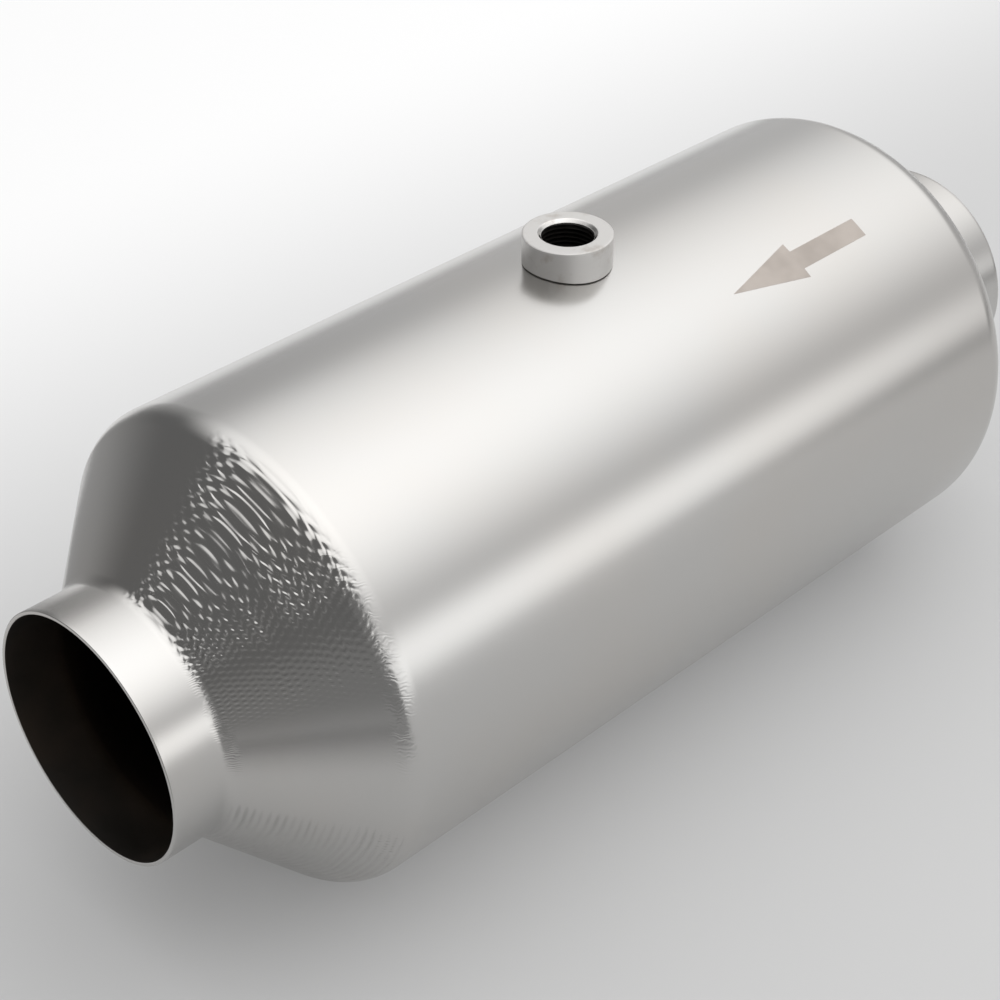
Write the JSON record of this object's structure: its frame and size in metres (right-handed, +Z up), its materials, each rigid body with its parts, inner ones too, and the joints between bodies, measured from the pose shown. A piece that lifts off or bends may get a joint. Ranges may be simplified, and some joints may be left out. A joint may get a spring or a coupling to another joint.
{
  "type": "catalytic converter",
  "caption": "Round spun catalytic converter with a neck at each end, two honeycomb bricks in support mats and a threaded oxygen sensor boss on its crown.",
  "frame": {"origin": "on the shell's axis, midway between the two mouths and under the sensor boss, which is the centroid of the solids", "axes": "+X along the shell's axis out of the inlet neck, so the gas flows towards -X; +Z up through the sensor boss; +Y to the side that makes the frame right-handed"},
  "size_m": [0.3778, 0.1524, 0.162],
  "materials": {
    "shell_steel": "satin rolled stainless steel, with fine spinning marks on the cones",
    "boss_steel": "matte turned stainless steel",
    "coated_ceramic": "dull washcoated honeycomb",
    "mat_fibre": "felted fibre with gold flecks",
    "seal_wire": "knitted stainless wire"
  },
  "bodies": {
    "root": {"shell": "shell_steel", "sensor_boss": "boss_steel", "inlet_catalyst_brick": "coated_ceramic", "outlet_catalyst_brick": "coated_ceramic", "inlet_support_mat": "mat_fibre", "outlet_support_mat": "mat_fibre", "inlet_upstream_wire_seal": "seal_wire", "inlet_downstream_wire_seal": "seal_wire", "outlet_upstream_wire_seal": "seal_wire", "outlet_downstream_wire_seal": "seal_wire"}
  },
  "joints": []
}
